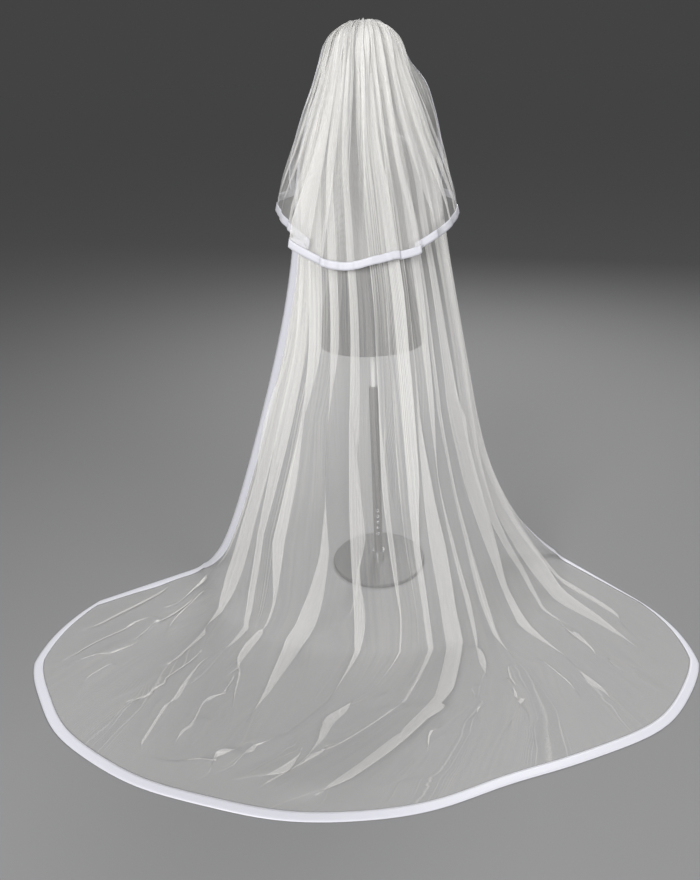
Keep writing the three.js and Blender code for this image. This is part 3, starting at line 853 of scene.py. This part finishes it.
def makeTier(name, cut, sheet):
    grid = sheet["grid"]
    rows, columns = grid.shape[:2]
    mesh = meshOf(name, grid, gridFaces(rows, columns).reshape(-1, 4), cutMap(grid, cut))
    layers = layersOf(sheet, cut).ravel()
    store = mesh.attributes.new("layers", "FLOAT", "POINT")
    store.data.foreach_set("value", layers.astype(np.float32))
    return addPiece(name, mesh, tulle)


def makeRibbonEdge(name, cut, sheet):
    grid = sheet["grid"]
    faces = gridFaces(*grid.shape[:2])
    onEdge = np.zeros(faces.shape[:2], bool)
    onEdge[:, :ribbonSteps] = onEdge[:, -ribbonSteps:] = True
    onEdge[-ribbonSteps:] = True
    used, packed = np.unique(faces[onEdge], return_inverse=True)
    out = grid + gridNormals(grid) * (clothSet["wallHalf"] + clothSet["seamGap"])
    uv = cutMap(grid, cut).reshape(-1, 2)[used]
    mesh = meshOf(name, out.reshape(-1, 3)[used], packed.reshape(-1, 4), uv)
    piece = addPiece(name, mesh, satin)
    wall = piece.modifiers.new("wall", "SOLIDIFY")
    wall.thickness = clothSet["ribbonWall"] * mm
    wall.offset = 1
    return piece


lowerSheet = drapeTier(lowerSet)
creaseTrain(lowerSheet)
upperSheet = drapeTier(upperSet)
lowerTier = makeTier("lowerTier", lowerSet, lowerSheet)
lowerRibbon = makeRibbonEdge("lowerRibbon", lowerSet, lowerSheet)
upperTier = makeTier("upperTier", upperSet, upperSheet)
upperRibbon = makeRibbonEdge("upperRibbon", upperSet, upperSheet)
print("tiers draped:", len(lowerTier.data.polygons), "and", len(upperTier.data.polygons), "faces")

# stitches along the ribbons' inner edges
stitchSet = {
    "pitch": 0.005,
    "length": 0.0032,
    "radius": 0.00035,
    "sides": 5,
    "inset": 0.3,  # how far in from the edge, as a share of a ribbon step
    "colour": (0.86, 0.86, 0.88, 1),
    "rough": 0.6,
    "sheen": 0.2,
}


def makeThread(s):
    return newFinish("sewingThread", Base_Color=s["colour"], Roughness=s["rough"], Sheen_Weight=s["sheen"])[0]


def treeOf(name, *sizes):  # an empty node tree with named sizes
    tree = bpy.data.node_groups.new(name, "GeometryNodeTree")
    tree.interface.new_socket("Geometry", in_out="INPUT", socket_type="NodeSocketGeometry")
    for size in sizes:
        tree.interface.new_socket(size, in_out="INPUT", socket_type="NodeSocketFloat")
    tree.interface.new_socket("Finish", in_out="INPUT", socket_type="NodeSocketMaterial")
    tree.interface.new_socket("Geometry", in_out="OUTPUT", socket_type="NodeSocketGeometry")
    return tree, tree.nodes.new("NodeGroupInput").outputs


def endTree(tree, given, instances):
    real = wire(tree, "GeometryNodeRealizeInstances", {"Geometry": instances}).outputs["Geometry"]
    done = wire(tree, "GeometryNodeSetMaterial", {"Geometry": real, "Material": given["Finish"]})
    tree.links.new(done.outputs["Geometry"], tree.nodes.new("NodeGroupOutput").inputs["Geometry"])


def stitchTree(s):
    tree, given = treeOf("stitches", "Pitch", "Length", "Radius")
    path = wire(tree, "GeometryNodeMeshToCurve", {"Mesh": given["Geometry"]}).outputs["Curve"]
    spaced = {"Curve": path, "Length": given["Pitch"]}
    spots = wire(tree, "GeometryNodeResampleCurve", spaced, mode="LENGTH").outputs["Curve"]
    ahead = wire(tree, "GeometryNodeInputTangent").outputs["Tangent"]
    turn = wire(tree, "FunctionNodeAlignRotationToVector", {"Vector": ahead}, axis="Z").outputs["Rotation"]
    form = {"Vertices": s["sides"], "Radius": given["Radius"], "Depth": given["Length"]}
    stitch = wire(tree, "GeometryNodeMeshCylinder", form).outputs["Mesh"]
    placed = {"Points": spots, "Instance": stitch, "Rotation": turn}
    endTree(tree, given, wire(tree, "GeometryNodeInstanceOnPoints", placed).outputs["Instances"])
    return tree


def growOn(piece, tree, finish, **sizes):  # runs the tree on a piece and keeps the plain mesh
    grower = piece.modifiers.new("grower", "NODES")
    grower.node_group = tree
    for socket in tree.interface.items_tree:
        if socket.in_out == "INPUT" and socket.name in sizes:
            grower[socket.identifier] = sizes[socket.name]
        if socket.in_out == "INPUT" and socket.name == "Finish":
            grower[socket.identifier] = finish
    shown = piece.evaluated_get(bpy.context.evaluated_depsgraph_get())
    mesh = bpy.data.meshes.new_from_object(shown)
    piece.modifiers.remove(grower)
    piece.data = mesh
    return piece


def lineMesh(name, points):
    mesh = bpy.data.meshes.new(name)
    mesh.from_pydata((points * mm).tolist(), [(k, k + 1) for k in range(len(points) - 1)], [])
    return mesh


def makeStitches(name, sheet, tree, s):
    face = clothSet["wallHalf"] + clothSet["seamGap"] + clothSet["ribbonWall"]
    out = sheet["grid"] + gridNormals(sheet["grid"]) * face
    first, last, low = ribbonSteps, out.shape[1] - 1 - ribbonSteps, len(out) - 1 - ribbonSteps

    def between(a, b):
        return a + (b - a) * s["inset"]

    left = between(out[:low, first], out[:low, first - 1])
    hem = between(out[low, first : last + 1], out[low + 1, first : last + 1])
    right = between(out[:low, last], out[:low, last + 1])
    piece = addPiece(name, lineMesh(name, np.concatenate([left, hem, right[::-1]])), thread)
    return growOn(piece, tree, thread, Pitch=s["pitch"], Length=s["length"], Radius=s["radius"])


thread = makeThread(stitchSet)
stitchGrower = stitchTree(stitchSet)
lowerStitches = makeStitches("lowerStitches", lowerSheet, stitchGrower, stitchSet)
upperStitches = makeStitches("upperStitches", upperSheet, stitchGrower, stitchSet)
print("stitches sewn:", len(lowerStitches.data.polygons), "and", len(upperStitches.data.polygons), "faces")


# display form, a smooth dark body with a plain head
formSet = {
    "segments": 96,
    "perRing": 5,
    "top": 1663,
    "merge": 1e-6,
    "colour": (0.018, 0.018, 0.02, 1),
    "sheen": 0.15,
    "grain": 900,
    "grainDetail": 4,
    "grainStrength": 0.2,
    "grainDepth": 0.0004,
    "worn": 9,
    "wornDetail": 5,
    "rough": (0.68, 0.92),
}
formRings = rowsOf(
    "height half depth centreY",
    (1662, 12, 15, 12),
    (1657, 32, 40, 12),
    (1640, 52, 64, 12),
    (1610, 67, 82, 11),
    (1570, 75, 91, 10),
    (1530, 72, 87, 12),
    (1496, 61, 72, 14),
    (1466, 51, 58, 12),
    (1436, 51, 55, 8),
    (1414, 68, 61, 5),
    (1397, 106, 71, 2),
    (1376, 142, 82, 0),
    (1348, 157, 93, 0),
    (1310, 158, 102, 2),
    (1260, 150, 110, 6),
    (1195, 147, 119, 10),
    (1120, 130, 109, 8),
    (1040, 118, 97, 4),
    (960, 137, 107, 2),
    (880, 156, 116, 0),
    (820, 159, 118, 0),
    (810, 155, 114, 0),
    (806, 148, 107, 0),
)


def makeForm(s):
    count = len(formRings) - 1
    at = np.linspace(0, count, count * s["perRing"] + 1)
    height, half, depth, centre = (through(columnOf(formRings, name), at) for name in formRings[0])
    angle = np.linspace(0, 2 * np.pi, s["segments"], endpoint=False)
    x = half[:, None] * np.cos(angle)
    y = centre[:, None] + depth[:, None] * np.sin(angle)
    grid = np.stack([x, y, np.broadcast_to(height[:, None], x.shape)], -1)
    tip = np.tile([0, centre[0], s["top"]], (1, s["segments"], 1))
    under = np.tile([0, centre[-1], height[-1]], (1, s["segments"], 1))
    grid = np.concatenate([tip, grid, under])
    mesh = meshOf("displayForm", grid, gridFaces(len(grid), s["segments"], True).reshape(-1, 4))
    closed = bmesh.new()
    closed.from_mesh(mesh)
    bmesh.ops.remove_doubles(closed, verts=closed.verts, dist=s["merge"])  # at the crown and underneath
    closed.to_mesh(mesh)
    closed.free()
    material, tree, skin = newFinish("formCover", Base_Color=s["colour"], Sheen_Weight=s["sheen"])
    place = wire(tree, "ShaderNodeTexCoord").outputs["Object"]
    grain = cloudOn(tree, place, s["grain"], s["grainDetail"])
    addRelief(tree, skin, grain, s["grainStrength"], s["grainDepth"])
    worn = cloudOn(tree, place, s["worn"], s["wornDetail"])
    tree.links.new(mapped(tree, worn, (0, 1), s["rough"]), skin.inputs["Roughness"])
    return addPiece("displayForm", mesh, material)


displayForm = makeForm(formSet)
print("form made")


# stand and comb keep their solids and get their own finishes
hardSet = {"spread": (0.3, 0.7), "detail": 6, "strength": 0.1, "depth": 0.0003}
hardFinishes = rowsOf(
    "name colour metal rough scale nodes",
    ("collarChrome", (0.8, 0.81, 0.82, 1), 1, (0.08, 0.22), 60, ("collar",)),
    ("polePaint", (0.86, 0.86, 0.85, 1), 0, (0.3, 0.42), 60, ("pole",)),
    ("baseEnamel", (0.03, 0.03, 0.033, 1), 0, (0.3, 0.5), 120, ("sleeve", "base")),
    ("combPlastic", (0.82, 0.82, 0.82, 1), 0, (0.18, 0.32), 200, ("comb",)),
)


def makeHard(row, s):
    material, tree, skin = newFinish(row["name"], Base_Color=row["colour"], Metallic=row["metal"])
    place = wire(tree, "ShaderNodeTexCoord").outputs["Object"]
    cloud = cloudOn(tree, place, row["scale"], s["detail"])
    tree.links.new(mapped(tree, cloud, s["spread"], row["rough"]), skin.inputs["Roughness"])
    addRelief(tree, skin, cloud, s["strength"], s["depth"])
    for node in row["nodes"]:
        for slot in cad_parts[node].material_slots:
            slot.material = material
    return material


finishes = {row["name"]: makeHard(row, hardSet) for row in hardFinishes}
chrome = finishes["collarChrome"]

# rims of the sleeve's height holes
holeSet = {
    "count": 5,
    "lowest": 0.122,
    "pitch": 0.0235,
    "sleeveRadius": 0.015,
    "rim": 0.0042,
    "rimSteps": 20,
    "wire": 0.0013,
    "wireSteps": 8,
}


def rimTree(s):
    tree, given = treeOf("holeRims", "Rim", "Wire")
    facing = wire(tree, "GeometryNodeMeshToPoints", {"Mesh": given["Geometry"]}).outputs["Points"]
    ring = {"Resolution": s["rimSteps"], "Radius": given["Rim"]}
    bead = {"Resolution": s["wireSteps"], "Radius": given["Wire"]}
    curves = [wire(tree, "GeometryNodeCurvePrimitiveCircle", size).outputs["Curve"] for size in (ring, bead)]
    swept = {"Curve": curves[0], "Profile Curve": curves[1]}
    rim = wire(tree, "GeometryNodeCurveToMesh", swept).outputs["Mesh"]
    placed = {"Points": facing, "Instance": rim, "Rotation": (math.pi / 2, 0, 0)}
    endTree(tree, given, wire(tree, "GeometryNodeInstanceOnPoints", placed).outputs["Instances"])
    return tree


def makeHoleRims(s):
    heights = s["lowest"] + s["pitch"] * np.arange(s["count"])
    spots = np.stack([np.zeros(s["count"]), np.full(s["count"], -s["sleeveRadius"]), heights], 1)
    piece = addPiece("holeRims", lineMesh("holeRims", spots / mm), chrome)
    return growOn(piece, rimTree(s), chrome, Rim=s["rim"], Wire=s["wire"])


holeRims = makeHoleRims(holeSet)
print("stand finished")

# floor and light
floorSet = {"half": 60, "colour": (0.25, 0.25, 0.254, 1), "rough": 0.85}


def makeFloor(s):
    corners = np.array([(-1, -1, 0), (1, -1, 0), (1, 1, 0), (-1, 1, 0)]) * s["half"] / mm
    material = newFinish("floorPaint", Base_Color=s["colour"], Roughness=s["rough"])[0]
    addPiece("floor", meshOf("floor", corners, [(0, 1, 2, 3)]), material)


makeFloor(floorSet)
lamps = rowsOf(
    "name place aim wide power",
    ("key", (-1.9, -3.3, 2.4), (-0.1, -0.2, 0.7), 2.4, 135),
    ("fill", (2.6, -2.4, 2.2), (0.1, -0.2, 0.8), 2.2, 58),
    ("rim", (0.9, 2.4, 2.8), (0, 0, 1), 1.6, 75),
)


def makeLamp(row):
    data = bpy.data.lights.new(row["name"], "AREA")
    data.shape = "DISK"
    data.size = row["wide"]
    data.energy = row["power"]
    lamp = bpy.data.objects.new(row["name"], data)
    place, aim = Vector(row["place"]), Vector(row["aim"])
    turn = (aim - place).to_track_quat("-Z", "Y")
    lamp.matrix_world = Matrix.Translation(place) @ turn.to_matrix().to_4x4()
    stage.collection.objects.link(lamp)


for row in lamps:
    makeLamp(row)

# a soft dome, dim at the horizon so that the floor runs out into it
roomSet = {"horizon": 0.0563, "overhead": 0.21, "begins": 0.14, "full": 0.6}


def makeRoom(s):
    world = bpy.data.worlds.new("room")
    world.use_nodes = True
    tree = world.node_tree
    ahead = wire(tree, "ShaderNodeTexCoord").outputs["Generated"]
    height = wire(tree, "ShaderNodeSeparateXYZ", {"Vector": ahead}).outputs["Z"]
    heights, glows = (s["begins"], s["full"]), (s["horizon"], s["overhead"])
    glow = mapped(tree, height, heights, glows, interpolation_type="SMOOTHSTEP")
    tree.links.new(glow, tree.nodes["Background"].inputs["Strength"])
    tree.nodes["Background"].inputs["Color"].default_value = (1, 1, 1, 1)
    stage.world = world


makeRoom(roomSet)
stage.view_settings.view_transform = "Standard"
stage.cycles.transparent_max_bounces = 64  # enough for every layer of tulle in one line of sight
print("floor and light set")

for piece, node, slot in (
    (lowerTier, "lower_tier", "tulle"),
    (lowerRibbon, "lower_ribbon", "ribbon"),
    (upperTier, "upper_tier", "tulle"),
    (upperRibbon, "upper_ribbon", "ribbon"),
    (displayForm, "display_form", "form"),
    (lowerStitches, None, "ribbon"),
    (upperStitches, None, "ribbon"),
    (holeRims, None, "chrome"),
):
    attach(piece, "root")
    if node:
        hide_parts(node)
